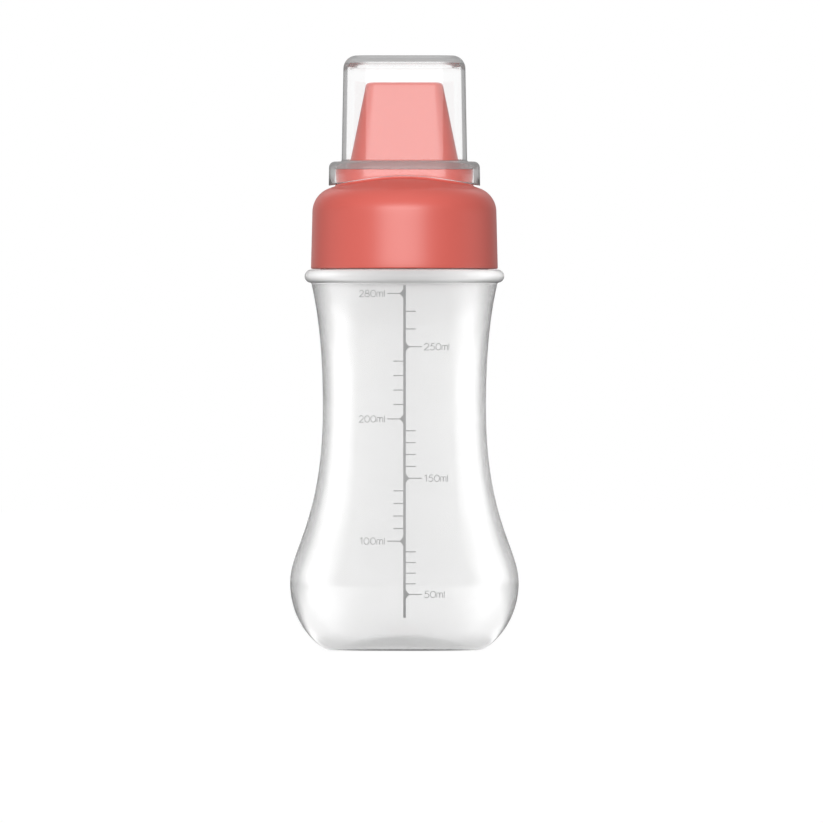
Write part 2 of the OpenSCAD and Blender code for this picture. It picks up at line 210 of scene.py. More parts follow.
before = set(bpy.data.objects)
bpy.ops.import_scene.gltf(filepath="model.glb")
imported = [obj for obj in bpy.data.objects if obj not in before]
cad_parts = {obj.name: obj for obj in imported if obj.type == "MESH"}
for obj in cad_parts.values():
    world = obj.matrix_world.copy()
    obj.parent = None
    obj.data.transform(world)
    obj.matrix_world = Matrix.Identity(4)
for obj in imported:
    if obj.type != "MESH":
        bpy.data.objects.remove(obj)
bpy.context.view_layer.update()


def build_camera():
    """The photograph's camera: level, and looking along +Y."""
    data = bpy.data.cameras.new("camera")
    data.lens = CAMERA.lens
    data.sensor_width = CAMERA.sensor
    width = PHOTO.side_px / PHOTO.px_per_mm
    camera = bpy.data.objects.new("camera", data)
    camera.location = (
        (PHOTO.side_px / 2 - PHOTO.axis_px) / PHOTO.px_per_mm * MM,
        -width * CAMERA.lens / CAMERA.sensor * MM,
        (PHOTO.base_px - PHOTO.side_px / 2) / PHOTO.px_per_mm * MM,
    )
    camera.rotation_euler = (math.pi / 2, 0, 0)
    data.clip_end = CAMERA.sees_to
    bpy.context.scene.collection.objects.link(camera)
    bpy.context.scene.camera = camera


# Outlines in a half plane, as points (radius, height)

def arc(mid, r, start, end, steps=STEPS.arc):
    """Points on an arc, with its angles in degrees."""
    angles = [math.radians(start + (end - start) * i / steps) for i in range(steps + 1)]
    return [Vector((mid[0] + r * math.cos(a), mid[1] + r * math.sin(a))) for a in angles]


def line(p, q, steps=1):
    """Points on a straight stretch, without its two ends."""
    p, q = Vector(p), Vector(q)
    return [p.lerp(q, i / steps) for i in range(1, steps)]


def curve(p, p_dir, p_handle, q, q_dir, q_handle, steps=STEPS.curve):
    """A free curve between two points, without its first point."""
    a = p + p_handle * p_dir
    b = q - q_handle * q_dir
    shares = [i / steps for i in range(1, steps + 1)]
    return [
        (1 - t) ** 3 * p + 3 * (1 - t) ** 2 * t * a + 3 * (1 - t) * t * t * b + t ** 3 * q
        for t in shares
    ]


def moved_left(path, distance):
    """The same line, moved to its left by a distance."""
    moved = []
    for i, p in enumerate(path):
        step = path[min(i + 1, len(path) - 1)] - path[max(i - 1, 0)]
        moved.append(p + distance * Vector((-step[1], step[0])).normalized())
    return moved


def slope_dir(degrees):
    """The direction that climbs at an angle."""
    return Vector((math.cos(math.radians(degrees)), math.sin(math.radians(degrees))))


# Sizes that follow from the blocks above

BORE_R = BOTTLE.neck_r - BOTTLE.neck_wall
CAP_BORE_R = BOTTLE.neck_r + CAP.thread_room
CAP_R = CAP_BORE_R + CAP.wall
PLUG_R = BORE_R - CAP.plug_gap
LIP_Z = BOTTLE.shoulder_z + BOTTLE.neck_h
SEAT_Z = LIP_Z + RING.t
RIM_Z = BOTTLE.shoulder_z + CAP.rim_gap
CROWN_Z = SEAT_Z + CAP.crown_h
DOME_MID = Vector((0, CROWN_Z - CAP.dome_r))
COLLAR_R = NOZZLE.collar_w / 2
COLLAR_Z = CROWN_Z + NOZZLE.collar_h
SEAT_HALF = CAP_R - NOZZLE.collar_inset - COLLAR_R
TIP_Z = COLLAR_Z + NOZZLE.h
TIP_R = NOZZLE.tip_w / 2
OUTLET_REACH = NOZZLE.outlet_pitch * (NOZZLE.outlets - 1) / 2
TIP_HALF = OUTLET_REACH + NOZZLE.outlet_d / 2 + NOZZLE.tip_land - TIP_R
COVER_R = COLLAR_R - COVER.inset
NOZZLE_R = COVER_R - COVER.wall - COVER.nozzle_gap
FLANGE_Z = COLLAR_Z + COVER.flange_t
CEILING_Z = TIP_Z + COVER.headroom
TOP_Z = CEILING_Z + COVER.top_t


# Rings and meshes

def oval_places():
    """Where each point of a ring lies: its share of the straight half, and its angle."""
    half_turn = [math.pi * i / (END_POINTS - 1) for i in range(END_POINTS)]
    side = [1 - 2 * (i + 1) / (SIDE_POINTS + 1) for i in range(SIDE_POINTS)]
    right = [(1, a - math.pi / 2) for a in half_turn]
    left = [(-1, a + math.pi / 2) for a in half_turn]
    back = [(share, math.pi / 2) for share in side]
    front = [(-share, -math.pi / 2) for share in side]
    return right + back + left + front


OVAL = oval_places()
TURN = [2 * math.pi * (i - (END_POINTS - 1) / 2) / RING_POINTS for i in range(RING_POINTS)]


def oval(half, r, z):
    """A ring with round ends and straight sides. z is a height, or a function of x and y."""
    ring = []
    for share, angle in OVAL:
        x = half * share + r * math.cos(angle)
        y = r * math.sin(angle)
        ring.append(Vector((x, y, z(x, y) if callable(z) else z)))
    return ring


def circle(r, z, ridge=None):
    """A round ring. ridge gives how far the ring stands out at an angle and a height."""
    radii = [r + ridge(a, z) if ridge else r for a in TURN]
    return [Vector((ra * math.cos(a), ra * math.sin(a), z)) for ra, a in zip(radii, TURN)]


def circles(path, ridge=None):
    return [circle(p[0], p[1], ridge) for p in path]


class Skin:
    """Gathers points in millimetres and faces, and makes one smooth mesh of them."""

    def __init__(self):
        self.points = []
        self.faces = []

    def ring(self, points):
        first = len(self.points)
        self.points += points
        return list(range(first, len(self.points)))

    def join(self, a, b):
        n = len(a)
        self.faces += [(a[i], a[(i + 1) % n], b[(i + 1) % n], b[i]) for i in range(n)]

    def strip(self, rings):
        """Joins rings one after another and returns the first and the last."""
        made = [self.ring(r) for r in rings]
        for a, b in zip(made, made[1:]):
            self.join(a, b)
        return made[0], made[-1]

    def pole(self, ring, z):
        """Closes a round ring at a point on the axis."""
        tip = self.ring([Vector((0, 0, z))])[0]
        n = len(ring)
        self.faces += [(ring[i], ring[(i + 1) % n], tip) for i in range(n)]

    def lid(self, ring):
        self.faces.append(tuple(ring))

    def plate(self, outer, holes):
        """Fills a flat convex ring and leaves the round holes in it open."""
        used = outer + [i for hole in holes for i in hole]
        loops = [outer] + holes
        place = {v: k for k, v in enumerate(used)}
        edges = [(place[a], place[b]) for loop in loops for a, b in zip(loop, loop[1:] + loop[:1])]
        flat = [Vector(self.points[i][:2]) for i in used]
        _, _, faces, origin, _, _ = delaunay_2d_cdt(flat, edges, [], 0, TINY)
        rounds = []
        for hole in holes:
            mid = sum((self.points[i] for i in hole), Vector((0, 0, 0))) / len(hole)
            rounds.append((mid.to_2d(), (self.points[hole[0]] - mid).length))
        for face in faces:
            corners = [used[origin[v][0]] for v in face]
            mid = sum((self.points[i] for i in corners), Vector((0, 0, 0))) / len(corners)
            if all((mid.to_2d() - centre).length > r for centre, r in rounds):
                self.faces.append(tuple(corners))

    def piece(self, name, material):
        """Makes the mesh in metres, with smooth faces, sharp corners and a material."""
        mesh = bpy.data.meshes.new(name)
        mesh.from_pydata([p * MM for p in self.points], [], self.faces)
        bm = bmesh.new()
        bm.from_mesh(mesh)
        bmesh.ops.recalc_face_normals(bm, faces=bm.faces)
        bm.to_mesh(mesh)
        bm.free()
        mesh.shade_smooth()
        mesh.set_sharp_from_angle(angle=SHARP_ANGLE)
        mesh.materials.append(material)
        made = bpy.data.objects.new(name, mesh)
        bpy.context.scene.collection.objects.link(made)
        return made


def finish_where(piece, chosen, material):
    """Gives another material to the faces whose middle, in millimetres, is chosen."""
    piece.data.materials.append(material)
    last = len(piece.data.materials) - 1
    for face in piece.data.polygons:
        if chosen(face.center / MM):
            face.material_index = last


def step_up(share):
    """Rises smoothly from 0 to 1 as share does."""
    t = min(max(share, 0), 1)
    return t * t * (3 - 2 * t)


def thread_ridge(start_z, height):
    """How far a right-hand thread stands out, as a function of angle and height."""
    def ridge(angle, z):
        around = (angle / (2 * math.pi)) % 1
        turn = around + round((z - start_z) / THREAD.lead - around)
        ends = step_up(turn / THREAD.run_out) * step_up((THREAD.turns - turn) / THREAD.run_out)
        off = abs(z - start_z - THREAD.lead * turn)
        return height * ends * step_up((THREAD.half_w - off) / THREAD.flank)
    return ridge


# Bottle

def body_path():
    """Outside of the body, from the flat of the foot up to the fillet under the bead."""
    b = BOTTLE
    foot = arc((b.foot_r, b.foot_round), b.foot_round, -90, b.foot_slope - 90)
    up = Vector((0, 1))
    shoulder_up = slope_dir(90 - b.shoulder_lean)
    end = bead_fillet_mid() - b.bead_fillet * slope_dir(-b.shoulder_lean)
    bulb = Vector((b.bulb_r, b.bulb_z))
    waist = Vector((b.waist_r, b.waist_z))
    low = b.bulb_z - foot[-1][1]
    middle = b.waist_z - b.bulb_z
    high = end[1] - b.waist_z
    s = HANDLE_SHARES
    return (
        foot
        + curve(foot[-1], slope_dir(b.foot_slope), low * s.foot, bulb, up, low * s.bulb_low)
        + curve(bulb, up, middle * s.bulb_high, waist, up, middle * s.waist_low)
        + curve(waist, up, high * s.waist_high, end, shoulder_up, high * s.shoulder)
    )


def bead_mid():
    return Vector((CAP_R + BOTTLE.bead_proud - BOTTLE.bead_r, BOTTLE.shoulder_z - BOTTLE.bead_r))


def bead_fillet_mid():
    reach = BOTTLE.bead_r + BOTTLE.bead_fillet
    return bead_mid() + reach * slope_dir(BOTTLE.bead_tuck - 90)


def neck_root():
    """The bead, the flat top of the shoulder and the fillet at the root of the neck."""
    b = BOTTLE
    return (
        arc(bead_fillet_mid(), b.bead_fillet, 180 - b.shoulder_lean, 90 + b.bead_tuck)
        + arc(bead_mid(), b.bead_r, b.bead_tuck - 90, 90, STEPS.bead)
        + arc((b.neck_r + b.neck_fillet, b.shoulder_z + b.neck_fillet), b.neck_fillet, 270, 180)
    )


def inside_path():
    """Inside of the bottle, from the bore's foot down to the push-up."""
    b = BOTTLE
    body = moved_left(body_path(), b.wall)
    up = slope_dir(90 - b.shoulder_lean)
    out = slope_dir(-b.shoulder_lean)
    ceiling_z = b.shoulder_z - b.shoulder_wall
    room = ceiling_z - body[-1][1]
    spread = 1 + math.sin(math.radians(b.shoulder_lean))
    turn_r = min(b.shoulder_round, room / spread)
    rise = (room - turn_r * spread) / math.cos(math.radians(b.shoulder_lean))
    turn_mid = body[-1] + rise * up - turn_r * out
    return (
        arc((BORE_R + b.bore_round, ceiling_z + b.bore_round), b.bore_round, 180, 270)
        + arc(turn_mid, turn_r, 90, -b.shoulder_lean)
        + body[::-1]
    )


def pushup(offset):
    """The push-up's dome, from its edge to just beside the axis, and its height on the axis."""
    edge_r = BOTTLE.foot_r - BOTTLE.foot_ring_w
    h = BOTTLE.pushup_h
    r = (edge_r ** 2 + h ** 2) / (2 * h)
    turn = math.degrees(math.asin(edge_r / r))
    path = arc((0, h - r), r + offset, 90 - turn, 90, STEPS.pushup)
    return path[:-1], path[-1][1]


def build_bottle():
    b = BOTTLE
    below, below_z = pushup(0)
    above, above_z = pushup(b.wall)
    rows = round((b.neck_h - b.neck_fillet - b.lip_round) / THREAD.row)
    neck_foot = (b.neck_r, b.shoulder_z + b.neck_fillet)
    neck_top = (b.neck_r, LIP_Z - b.lip_round)
    lip = arc((b.neck_r - b.lip_round, LIP_Z - b.lip_round), b.lip_round, 0, 90)
    lip_in = arc((BORE_R + b.lip_round, LIP_Z - b.lip_round), b.lip_round, 90, 180)
    ridge = thread_ridge(b.shoulder_z + THREAD.neck_start - THREAD.lead, THREAD.neck_h)
    skin = Skin()
    first, last = skin.strip(
        circles(below[::-1])
        + circles(body_path() + neck_root())
        + circles(line(neck_foot, neck_top, rows), ridge)
        + circles(lip + lip_in + inside_path() + above)
    )
    skin.pole(first, below_z)
    skin.pole(last, above_z)
    piece = skin.piece("bottle_shell", plastic("milky_plastic", MILKY))
    thick = plastic("thick_milky_plastic", THICK)
    finish_where(piece, lambda p: p.z > bead_fillet_mid()[1], thick)
    return dress(piece, "bottle", "bottle")


# Cap

def dome_z(offset=0.0):
    """Height of the dome, moved outwards by an offset, as a function of x and y."""
    r = CAP.dome_r + offset
    return lambda x, y: DOME_MID[1] + math.sqrt(r * r - x * x - y * y)


def raised(height, up):
    """The same height function, moved up."""
    return lambda x, y: height(x, y) + up


def nozzle_ring(h, grow, shorten=0.0):
    """A ring round the nozzle at a height above the collar, wider or shorter than its side."""
    share = h / NOZZLE.h
    half = SEAT_HALF + (TIP_HALF - SEAT_HALF) * share - shorten
    r = NOZZLE_R + (TIP_R - NOZZLE_R) * share + grow
    return oval(half, r, COLLAR_Z + h)


def quarter(steps=STEPS.arc):
    """Angles from 0 to a right angle."""
    return [math.pi / 2 * i / steps for i in range(steps + 1)]


def tip_rings():
    """Rounded edge of the tip, from the flat top down. Its short ends are rounder."""
    rings = []
    for a in quarter():
        down = 1 - math.cos(a)
        back = 1 - math.sin(a)
        grow = -NOZZLE.tip_round * back
        shorten = (NOZZLE.tip_end_round - NOZZLE.tip_round) * back
        rings.append(nozzle_ring(NOZZLE.h - NOZZLE.tip_round * down, grow, shorten))
    return rings


def nozzle_side_rings(steps=STEPS.nozzle_side):
    """The nozzle's side from under the tip's edge down to the fillet at its root."""
    low = NOZZLE.fillet
    high = NOZZLE.h - NOZZLE.tip_round
    sides = [nozzle_ring(high + (low - high) * i / steps, 0) for i in range(1, steps)]
    root = [
        nozzle_ring(NOZZLE.fillet * (1 - math.sin(a)), NOZZLE.fillet * (1 - math.cos(a)))
        for a in quarter()
    ]
    return sides + root


def collar_rings():
    """Rounded edge, side and foot fillet of the collar, down to the dome."""
    edge = NOZZLE.collar_round
    fillet = NOZZLE.collar_fillet
    dome = dome_z()
    rings = [
        oval(SEAT_HALF, COLLAR_R - edge * (1 - math.sin(a)), COLLAR_Z - edge * (1 - math.cos(a)))
        for a in quarter(STEPS.collar_edge)
    ]
    for a in quarter(STEPS.collar_edge):
        out = fillet * (1 - math.cos(a))
        up = fillet * (1 - math.sin(a))
        rings.append(oval(SEAT_HALF, COLLAR_R + out, raised(dome, up)))
    return rings


def dome_rings(start, end_r, offset, steps=STEPS.dome):
    """Rings over the dome, from a given ring to a circle."""
    dome = dome_z(offset)
    rings = []
    for k in range(1, steps + 1):
        share = k / steps
        ring = []
        for p, a in zip(start, TURN):
            q = Vector((end_r * math.cos(a), end_r * math.sin(a)))
            spot = p.to_2d().lerp(q, share)
            ring.append(Vector((spot.x, spot.y, dome(spot.x, spot.y))))
        rings.append(ring)
    return rings


def crown_path():
    """Outside of the cap from the dome's edge down to the rim."""
    up = slope_dir(90 + CAP.draft)
    out = slope_dir(CAP.draft)
    start = Vector((CAP_R, RIM_Z)) - CAP.crown_round * out - DOME_MID
    along = start.dot(up)
    reach = CAP.dome_r - CAP.crown_round
    climb = math.sqrt(along ** 2 - start.dot(start) + reach ** 2) - along
    mid = DOME_MID + start + climb * up
    turn = math.degrees(math.atan2(mid[1] - DOME_MID[1], mid[0]))
    crown = arc(mid, CAP.crown_round, turn, CAP.draft, STEPS.crown)
    rim_mid = (CAP_R - CAP.rim_round, RIM_Z + CAP.rim_round)
    rim = arc(rim_mid, CAP.rim_round, CAP.draft, -90)
    return crown + line(crown[-1], rim[0], STEPS.cap_side) + rim


def plug_path():
    """The seat and the plug, from the bore inwards to the plug's inner side."""
    plug_in = PLUG_R - CAP.plug_wall
    plug_z = SEAT_Z - CAP.plug_h
    top = dome_z(-CAP.dome_wall)(plug_in, 0)
    return [
        Vector((CAP_BORE_R, SEAT_Z)),
        Vector((PLUG_R, SEAT_Z)),
        Vector((PLUG_R, plug_z + CAP.lead_in)),
        Vector((PLUG_R - CAP.lead_in, plug_z)),
        Vector((plug_in + CAP.lead_in / 2, plug_z)),
        Vector((plug_in, plug_z + CAP.lead_in / 2)),
        Vector((plug_in, top)),
    ]


def slot_rings():
    """Inside of the collar, from the dome's underside up to its ceiling."""
    r = COLLAR_R - NOZZLE.collar_wall
    ceiling_z = COLLAR_Z - NOZZLE.collar_wall
    return [oval(SEAT_HALF, r, dome_z(-CAP.dome_wall)), oval(SEAT_HALF, r, ceiling_z)]


def passage_rings():
    """Inside of the nozzle, from the collar's ceiling up to the back of the tip."""
    low = -NOZZLE.collar_wall
    high = NOZZLE.h - NOZZLE.tip_t
    shares = [k / STEPS.passage for k in range(STEPS.passage + 1)]
    return [nozzle_ring(low + (high - low) * share, -NOZZLE.wall) for share in shares]


def outlet_rings(i, top_z, low_z):
    """One outlet, from its rounded edge on the tip down to the passage."""
    x = i * NOZZLE.outlet_pitch - OUTLET_REACH
    r = NOZZLE.outlet_d / 2
    edge = NOZZLE.outlet_round
    sizes = [
        (r + edge * (1 - math.sin(a)), top_z - edge * (1 - math.cos(a)))
        for a in quarter(STEPS.edge)
    ]
    sizes.append((r, low_z))
    n = NOZZLE.outlet_points
    turn = [2 * math.pi * k / n for k in range(n)]
    return [[Vector((x + r * math.cos(a), r * math.sin(a), z)) for a in turn] for r, z in sizes]


def build_cap():
    skin = Skin()
    collar = collar_rings()
    crown = crown_path()
    outside = tip_rings() + nozzle_side_rings() + collar
    outside += dome_rings(collar[-1], crown[0][0], 0) + circles(crown[1:])
    bore_low = (CAP_BORE_R, RIM_Z + CAP.lead_in)
    bore_high = (CAP_BORE_R, SEAT_Z)
    rows = round((SEAT_Z - RIM_Z - CAP.lead_in) / THREAD.row)
    neck_start = BOTTLE.shoulder_z + THREAD.neck_start - THREAD.lead
    ridge = thread_ridge(neck_start - THREAD.lead / 2, -THREAD.cap_h)
    chamfer = [(CAP_BORE_R + CAP.lead_in, RIM_Z), bore_low]
    inside = circles(chamfer) + circles(line(bore_low, bore_high, rows), ridge)
    inside += circles(plug_path())
    slot = slot_rings()
    under = dome_rings(slot[0], plug_path()[-1][0], -CAP.dome_wall)
    inside += under[-2::-1] + slot
    inside += passage_rings()
    first, last = skin.strip(outside + inside)
    holes = [
        skin.strip(outlet_rings(i, TIP_Z, TIP_Z - NOZZLE.tip_t))
        for i in range(NOZZLE.outlets)
    ]
    skin.plate(first, [top for top, _ in holes])
    skin.plate(last, [low for _, low in holes])
    piece = skin.piece("cap_and_nozzle", coral_material())
    return dress(piece, "cap", "nozzle_cap")


# Sealing ring and cover

def build_ring():
    """The silicone ring: a flat ring with rounded corners."""
    inner = PLUG_R + RING.gap
    outer = CAP_BORE_R - RING.gap
    low = LIP_Z + RING.film
    high = SEAT_Z - RING.film
    r = RING.round
    path = (
        arc((outer - r, low + r), r, -90, 0)
        + arc((outer - r, high - r), r, 0, 90)
        + arc((inner + r, high - r), r, 90, 180)
        + arc((inner + r, low + r), r, 180, 270)
    )
    skin = Skin()
    first, last = skin.strip(circles(path))
    skin.join(last, first)
    piece = skin.piece("seal_ring", plastic("milky_silicone", SILICONE))
    return dress(piece, "seal", "sealing_ring")


def cover_side(top_z):
    """Outside of the cover as (end radius, height), from the top's rounding to the skirt."""
    c = COVER
    top_r = COVER_R - (top_z - FLANGE_Z) * math.tan(math.radians(c.draft))
    skirt_r = COLLAR_R + c.skirt_gap + c.skirt_wall
    top = arc((top_r - c.round, top_z - c.round), c.round, 90, 0, STEPS.cover_turn)
    fillet_mid = (COVER_R + c.flange_fillet, FLANGE_Z + c.flange_fillet)
    fillet = arc(fillet_mid, c.flange_fillet, 180, 270)
    flange_mid = (skirt_r - c.flange_round, FLANGE_Z - c.flange_round)
    flange = arc(flange_mid, c.flange_round, 90, 0, STEPS.flange)
    return top + line(top[-1], fillet[0], STEPS.cover_side) + fillet + flange


def skirt_rings(outer_r, inner_r):
    """The skirt's edge, which follows the dome at a gap, with both of its corners rounded."""
    edge = COVER.edge_round
    dome = dome_z(COVER.dome_gap)
    turn = quarter(STEPS.edge)
    corners = [(outer_r, -edge, a) for a in turn] + [(inner_r, edge, a) for a in turn[::-1]]
    return [
        oval(SEAT_HALF, r + way * (1 - math.cos(a)), raised(dome, edge * (1 - math.sin(a))))
        for r, way, a in corners
    ]


def hollow_path():
    """Inside of the cover, from the collar's edge up to the ceiling's rounding."""
    c = COVER
    low_z = COLLAR_Z + c.film
    hollow_r = COVER_R - c.wall
    taper = (TOP_Z - FLANGE_Z) * math.tan(math.radians(c.draft))
    turn_r = c.round - c.wall
    turn_mid = (hollow_r - taper - turn_r, CEILING_Z - turn_r)
    turn = arc(turn_mid, turn_r, 0, 90, STEPS.cover_turn)
    edge = arc((hollow_r + c.edge_round, low_z + c.edge_round), c.edge_round, 270, 180)
    taper_at_flange = c.flange_t * math.tan(math.radians(c.draft))
    flange_line = Vector((hollow_r - taper_at_flange, FLANGE_Z))
    return edge + [flange_line] + line(flange_line, turn[0], STEPS.cover_side) + turn


def on_seat(p):
    """Whether a point is on the cover's seat or on its inside up to the flange's top."""
    from_middle = math.hypot(max(abs(p.x) - SEAT_HALF, 0), p.y)
    on_side = from_middle < COVER_R - COVER.wall + COVER.edge_round and p.z < FLANGE_Z
    on_ceiling = from_middle < COLLAR_R and p.z < COLLAR_Z + 2 * COVER.film
    return on_side or on_ceiling


def on_upright(p):
    """Whether a point is at the height of the cover's upright wall or of its skirt."""
    on_wall = FLANGE_Z + COVER.flange_fillet < p.z < TOP_Z - COVER.round
    return on_wall or p.z < FLANGE_Z - COVER.flange_round


def stays_clear(p):
    """Whether a point is on a flat top, the hollow side or the skirt's edge of the cover."""
    from_middle = math.hypot(max(abs(p.x) - SEAT_HALF, 0), p.y)
    if p.z > TOP_Z - COVER.film or abs(p.z - FLANGE_Z) < COVER.film:
        return True
    if p.z < FLANGE_Z - COVER.film:
        on_edge = p.z < dome_z(COVER.dome_gap)(p.x, p.y) + COVER.edge_round
        return on_edge or from_middle < COLLAR_R + COVER.skirt_gap + COVER.film
    taper = (p.z - FLANGE_Z) * math.tan(math.radians(COVER.draft))
    return from_middle < COVER_R - COVER.wall / 2 - taper and p.z < CEILING_Z + COVER.film


def build_cover():
    c = COVER
    outside = cover_side(TOP_Z)
    skirt_top = outside[-1]
    mid_z = DOME_MID[1] + CAP.dome_r
    outer_r = skirt_top[0] + (skirt_top[1] - mid_z) * math.tan(math.radians(c.skirt_draft))
    inner_r = COLLAR_R + c.skirt_gap
    recess_z = COLLAR_Z + c.film
    rings = [oval(SEAT_HALF, r, z) for r, z in outside]
    rings += skirt_rings(outer_r, inner_r)
    rings.append(oval(SEAT_HALF, inner_r, recess_z))
    rings += [oval(SEAT_HALF, r, z) for r, z in hollow_path()]
    skin = Skin()
    first, last = skin.strip(rings)
    skin.lid(first)
    skin.lid(last)
    piece = skin.piece("clear_cover", clear_material("clear_plastic", RIM_LOOK))
    finish_where(piece, lambda p: p.z > CEILING_Z, clear_material("clear_top", TOP_LOOK))
    finish_where(piece, on_upright, clear_material("clear_wall", WALL_LOOK))
    finish_where(piece, stays_clear, clear_material("clear_inside", INSIDE_LOOK))
    finish_where(piece, on_seat, plastic("satin_seat", SATIN))
    return dress(piece, "cover", "dust_cover")


# Printed scale

def outline_at(path, z):
    """Radius of the bottle's outside at a height."""
    for p, q in zip(path, path[1:]):
        if p[1] <= z <= q[1]:
            share = (z - p[1]) / max(q[1] - p[1], TINY)
            return p[0] + (q[0] - p[0]) * share
    return path[-1][0]


class Print:
    """Ink on the bottle's front, drawn flat as (across, up) and wrapped round the outside."""

    def __init__(self):
        self.skin = Skin()
        self.path = body_path()

    def spot(self, u, z, lift):
        """The place of a flat point, lifted off the bottle's outside."""
        r = outline_at(self.path, z)
        angle = (u + SCALE.x) / r
        return Vector(((r + lift) * math.sin(angle), -(r + lift) * math.cos(angle), z))

    def band(self, left, right, closed=False):
        """A closed slab of ink between two lines of points."""
        sheet = []
        for a, b in zip(left, right):
            corners = [(a, -SCALE.sunk), (b, -SCALE.sunk), (b, SCALE.proud), (a, SCALE.proud)]
            sheet.append(self.skin.ring([self.spot(p[0], p[1], lift) for p, lift in corners]))
        for a, b in zip(sheet, sheet[1:]):
            self.skin.join(a, b)
        if closed:
            self.skin.join(sheet[-1], sheet[0])
        else:
            self.skin.lid(sheet[0])
            self.skin.lid(sheet[-1])

    def stroke(self, points, width, closed=False):
        """A line of even width along flat points."""
        n = len(points)
        left, right = [], []
        for i, p in enumerate(points):
            back = points[i - 1] if i or closed else p
            ahead = points[(i + 1) % n] if i < n - 1 or closed else p
            a = (p - back).normalized() if back != p else (ahead - p).normalized()
            b = (ahead - p).normalized() if ahead != p else a
            side = Vector((-(a + b)[1], (a + b)[0])).normalized()
            mitre = max(side.dot(Vector((-a[1], a[0]))), SCALE.least_mitre)
            reach = width / 2 / mitre
            left.append(p + side * reach)
            right.append(p - side * reach)
        self.band(left, right, closed)


def spread(points, step):
    """The same line with points no further apart than a step."""
    out = [points[0]]
    for p, q in zip(points, points[1:]):
        out += line(p, q, max(1, math.ceil((q - p).length / step))) + [q]
    return out


def bow_points(bow):
    turns = [bow.start + (bow.end - bow.start) * i / bow.steps for i in range(bow.steps + 1)]
    angles = [math.radians(turn) for turn in turns]
    return [Vector((bow.x + bow.rx * math.cos(a), bow.y + bow.ry * math.sin(a))) for a in angles]


def stroke_points(stroke, closed):
    """Points along a stroke of a character. A closed one doesn't repeat its first point."""
    points = []
    for stretch in stroke:
        points += bow_points(stretch) if isinstance(stretch, Bow) else [Vector(stretch)]
    return points[:-1] if closed else points


def text_width(text):
    letters = sum(CHARACTERS[mark][0] for mark in text) * SCALE.text_h * SCALE.text_wide
    return letters + (len(text) - 1) * SCALE.letter_gap


def print_text(ink, text, u, z):
    """Prints text whose left edge is at u and whose middle is at z."""
    h = SCALE.text_h
    w = h * SCALE.text_wide
    for mark in text:
        width, closed, strokes = CHARACTERS[mark]
        for stroke in strokes:
            points = stroke_points(stroke, closed)
            placed = [Vector((u + p[0] * w, z + (p[1] - 0.5) * h)) for p in points]
            if not closed:
                placed = spread(placed, SCALE.text_step)
            ink.stroke(placed, SCALE.text_w, closed)
        u += width * w + SCALE.letter_gap


def print_mark(ink, value, z, side):
    """A numbered mark: a flare on the line, a long tick and its number."""
    s = SCALE
    shares = [i / STEPS.flare for i in range(STEPS.flare + 1)]
    reach = [s.line_w / 2 + s.flare_w * share for share in shares]
    half = [s.flare_h * (1 - share) ** s.flare_power + s.tick_w / 2 for share in shares]
    high = [Vector((side * u, z + h)) for u, h in zip(reach, half)]
    low = [Vector((side * u, z - h)) for u, h in zip(reach, half)]
    ink.band(high, low)
    ends = [Vector((side * reach[-1], z)), Vector((side * s.long, z))]
    ink.stroke(spread(ends, s.tick_step), s.tick_w)
    text = f"{value}ml"
    left = s.long + s.text_gap
    print_text(ink, text, left if side > 0 else -left - text_width(text), z)


def build_scale():
    ink = Print()
    line_ends = [Vector((0, SCALE.low)), Vector((0, SCALE.high))]
    ink.stroke(spread(line_ends, SCALE.line_step), SCALE.line_w)
    for value, z, side in MARKS:
        print_mark(ink, value, z, side)
    for (low, low_z, _), (high, high_z, side) in zip(MARKS, MARKS[1:]):
        count = (high - low) // SCALE.step_ml
        for i in range(1, count):
            z = low_z + (high_z - low_z) * i / count
            ends = [Vector((-side * SCALE.line_w / 2, z)), Vector((-side * SCALE.short, z))]
            ink.stroke(spread(ends, SCALE.tick_step), SCALE.tick_w)
    piece = ink.skin.piece("volume_scale", plastic("grey_ink", INK))
    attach(piece, "bottle")
    return piece


# Materials

def new_material(name):
    material = bpy.data.materials.new(name)
    material.use_nodes = True
    tree = material.node_tree
    return material, tree, tree.nodes["Principled BSDF"]


def put(tree, socket, value):
    """Joins an input to another node's output, or sets it."""
    if isinstance(value, bpy.types.NodeSocket):
        tree.links.new(value, socket)
    else:
        socket.default_value = value


def fill(tree, node, **inputs):
    """Joins or sets a node's inputs by name, with _ for a blank."""
    for name, value in inputs.items():
        put(tree, node.inputs[name.replace("_", " ")], value)
    return node


def add(tree, kind, **inputs):
    """A new node, with its inputs joined or set."""
    return fill(tree, tree.nodes.new(kind), **inputs)


def calculated(tree, operation, a, b=0):
    """The result of a sum on numbers or on other nodes' outputs."""
    node = tree.nodes.new("ShaderNodeMath")
    node.operation = operation
    put(tree, node.inputs[0], a)
    put(tree, node.inputs[1], b)
    return node.outputs["Value"]


def coordinates(tree, kind):
    """The three parts of a texture coordinate."""
    place = add(tree, "ShaderNodeTexCoord").outputs[kind]
    return add(tree, "ShaderNodeSeparateXYZ", Vector=place).outputs


def noise(tree, scale, detail=2.0):
    """Noise fixed to the piece, with its scale in features per metre."""
    place = add(tree, "ShaderNodeTexCoord").outputs["Object"]
    node = add(tree, "ShaderNodeTexNoise", Vector=place, Scale=scale, Detail=detail)
    return node.outputs["Fac"]


def ranged(tree, source, low, high):
    """Goes from one value to another while the source goes from 0 to 1."""
    node = add(tree, "ShaderNodeMapRange", Value=source, To_Min=low, To_Max=high)
    return node.outputs["Result"]


def smoothed(tree, source, span, values):
    """Goes smoothly from one value to another while the source crosses a span."""
    node = add(tree, "ShaderNodeMapRange", Value=source, From_Min=span[0], From_Max=span[1],
               To_Min=values[0], To_Max=values[1])
    node.interpolation_type = "SMOOTHSTEP"
    return node.outputs["Result"]


